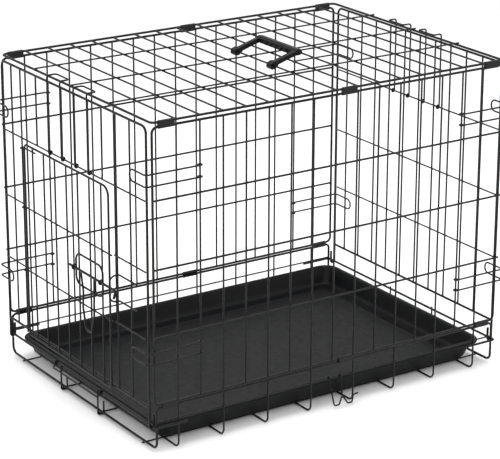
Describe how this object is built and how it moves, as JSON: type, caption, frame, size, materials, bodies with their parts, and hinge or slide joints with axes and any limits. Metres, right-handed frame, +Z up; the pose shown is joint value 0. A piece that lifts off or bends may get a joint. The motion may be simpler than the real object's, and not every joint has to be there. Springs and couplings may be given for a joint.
{
  "type": "wire dog crate",
  "caption": "Folding wire pet crate: hinged side, top and end panels, end door with slide bolt, swing hooks, lift-out floor pan and folding carrying handle.",
  "frame": {"origin": "middle of the crate's footprint at floor level", "axes": "+X along the length towards the plain rear end (door end at -X), +Y towards the back long side, +Z up"},
  "size_m": [0.6443, 0.4514, 0.5036],
  "materials": {
    "coated_wire": "satin black powder coat",
    "clip_steel": "satin black coated strip",
    "pan_plastic": "satin moulded plastic",
    "handle_plastic": "satin moulded plastic"
  },
  "bodies": {
    "base": {"base_frame": "coated_wire", "base_cross_wires": "coated_wire", "base_floor_stringers": "coated_wire", "base_side_wires": "coated_wire", "door_end_bar": "coated_wire", "rear_end_bar": "coated_wire", "door_bar_supports": "coated_wire", "rear_bar_supports": "coated_wire", "front_side_frame": "coated_wire", "front_side_uprights": "coated_wire", "front_side_stringers": "coated_wire", "front_base_hinge_clips": "clip_steel", "back_side_frame": "coated_wire", "back_side_uprights": "coated_wire", "back_side_stringers": "coated_wire", "back_base_hinge_clips": "clip_steel", "top_frame": "coated_wire", "top_cross_wires": "coated_wire", "top_stringers": "coated_wire", "top_front_hinge_clips": "clip_steel", "top_back_hinge_clips": "clip_steel"},
    "door_end": {"door_end_frame": "coated_wire", "door_end_uprights": "coated_wire", "door_end_horizontals": "coated_wire", "door_hinge_wire": "coated_wire", "bolt_keeper": "coated_wire"},
    "rear_end": {"rear_end_frame": "coated_wire", "rear_end_uprights": "coated_wire", "rear_end_horizontals": "coated_wire"},
    "door": {"door_frame": "coated_wire", "door_uprights": "coated_wire", "door_horizontals_and_hinge_eyes": "coated_wire", "bolt_guide": "coated_wire"},
    "bolt": {"bolt_rod": "coated_wire", "bolt_grip": "coated_wire"},
    "handle": {"carry_handle": "handle_plastic"},
    "pan": {"floor_pan": "pan_plastic"},
    "stop": {"pan_stop": "coated_wire"},
    "base_latch": {"fold_latch": "coated_wire"},
    "hook_front_left_upper": {"hook_front_left_upper": "coated_wire"},
    "hook_front_left_lower": {"hook_front_left_lower": "coated_wire"},
    "hook_front_right_upper": {"hook_front_right_upper": "coated_wire"},
    "hook_front_right_lower": {"hook_front_right_lower": "coated_wire"},
    "hook_back_left_upper": {"hook_back_left_upper": "coated_wire"},
    "hook_back_left_lower": {"hook_back_left_lower": "coated_wire"},
    "hook_back_right_upper": {"hook_back_right_upper": "coated_wire"},
    "hook_back_right_lower": {"hook_back_right_lower": "coated_wire"},
    "top_hook_door_end_front": {"top_hook_door_end_front": "coated_wire"},
    "top_hook_door_end_back": {"top_hook_door_end_back": "coated_wire"},
    "top_hook_rear_end_front": {"top_hook_rear_end_front": "coated_wire"},
    "top_hook_rear_end_back": {"top_hook_rear_end_back": "coated_wire"}
  },
  "joints": [
    {"name": "door_end_fold", "type": "hinge", "parent": "base", "child": "door_end", "pos_m": [-0.3045, 0, 0.041], "axis": [0, -1, 0], "range_deg": [-90, 0]},
    {"name": "rear_end_fold", "type": "hinge", "parent": "base", "child": "rear_end", "pos_m": [0.3045, 0, 0.041], "axis": [0, 1, 0], "range_deg": [-85, 0]},
    {"name": "door_swing", "type": "hinge", "parent": "door_end", "child": "door", "pos_m": [-0.31274, 0.1421, 0.217], "axis": [0, 0, -1], "range_deg": [0, 150]},
    {"name": "bolt_slide", "type": "slide", "parent": "door", "child": "bolt", "axis": [0, 1, 0], "range_m": [0, 0.016]},
    {"name": "handle_swing", "type": "hinge", "parent": "base", "child": "handle", "pos_m": [0, 0, 0.48545], "axis": [0, -1, 0], "range_deg": [-5, 150]},
    {"name": "pan_lift", "type": "slide", "parent": "base", "child": "pan", "axis": [0, 0, 1], "range_m": [0, 0.028]},
    {"name": "pan_stop_swing", "type": "hinge", "parent": "base", "child": "stop", "pos_m": [-0.3045, 0, 0.041], "axis": [0, 1, 0], "range_deg": [0, 130]},
    {"name": "base_latch_swing", "type": "hinge", "parent": "base", "child": "base_latch", "pos_m": [0, -0.21438, 0.046], "axis": [-1, 0, 0], "range_deg": [-8, 100]},
    {"name": "hook_front_left_upper_swing", "type": "hinge", "parent": "base", "child": "hook_front_left_upper", "pos_m": [-0.22762, -0.21669, 0.406], "axis": [0, 0, 1], "range_deg": [0, 100]},
    {"name": "hook_front_left_lower_swing", "type": "hinge", "parent": "base", "child": "hook_front_left_lower", "pos_m": [-0.22762, -0.21669, 0.146], "axis": [0, 0, 1], "range_deg": [0, 100]},
    {"name": "hook_front_right_upper_swing", "type": "hinge", "parent": "base", "child": "hook_front_right_upper", "pos_m": [0.22762, -0.21669, 0.406], "axis": [0, 0, -1], "range_deg": [0, 100]},
    {"name": "hook_front_right_lower_swing", "type": "hinge", "parent": "base", "child": "hook_front_right_lower", "pos_m": [0.22762, -0.21669, 0.146], "axis": [0, 0, -1], "range_deg": [0, 100]},
    {"name": "hook_back_left_upper_swing", "type": "hinge", "parent": "base", "child": "hook_back_left_upper", "pos_m": [-0.22762, 0.21669, 0.406], "axis": [0, 0, -1], "range_deg": [0, 100]},
    {"name": "hook_back_left_lower_swing", "type": "hinge", "parent": "base", "child": "hook_back_left_lower", "pos_m": [-0.22762, 0.21669, 0.146], "axis": [0, 0, -1], "range_deg": [0, 100]},
    {"name": "hook_back_right_upper_swing", "type": "hinge", "parent": "base", "child": "hook_back_right_upper", "pos_m": [0.22762, 0.21669, 0.406], "axis": [0, 0, 1], "range_deg": [0, 100]},
    {"name": "hook_back_right_lower_swing", "type": "hinge", "parent": "base", "child": "hook_back_right_lower", "pos_m": [0.22762, 0.21669, 0.146], "axis": [0, 0, 1], "range_deg": [0, 100]},
    {"name": "top_hook_door_end_front_swing", "type": "hinge", "parent": "door_end", "child": "top_hook_door_end_front", "pos_m": [-0.31022, -0.037, 0.374], "axis": [0, -1, 0], "range_deg": [0, 90]},
    {"name": "top_hook_door_end_back_swing", "type": "hinge", "parent": "door_end", "child": "top_hook_door_end_back", "pos_m": [-0.31022, 0.04, 0.374], "axis": [0, -1, 0], "range_deg": [0, 90]},
    {"name": "top_hook_rear_end_front_swing", "type": "hinge", "parent": "rear_end", "child": "top_hook_rear_end_front", "pos_m": [0.31022, -0.037, 0.374], "axis": [0, 1, 0], "range_deg": [0, 90]},
    {"name": "top_hook_rear_end_back_swing", "type": "hinge", "parent": "rear_end", "child": "top_hook_rear_end_back", "pos_m": [0.31022, 0.04, 0.374], "axis": [0, 1, 0], "range_deg": [0, 90]}
  ]
}
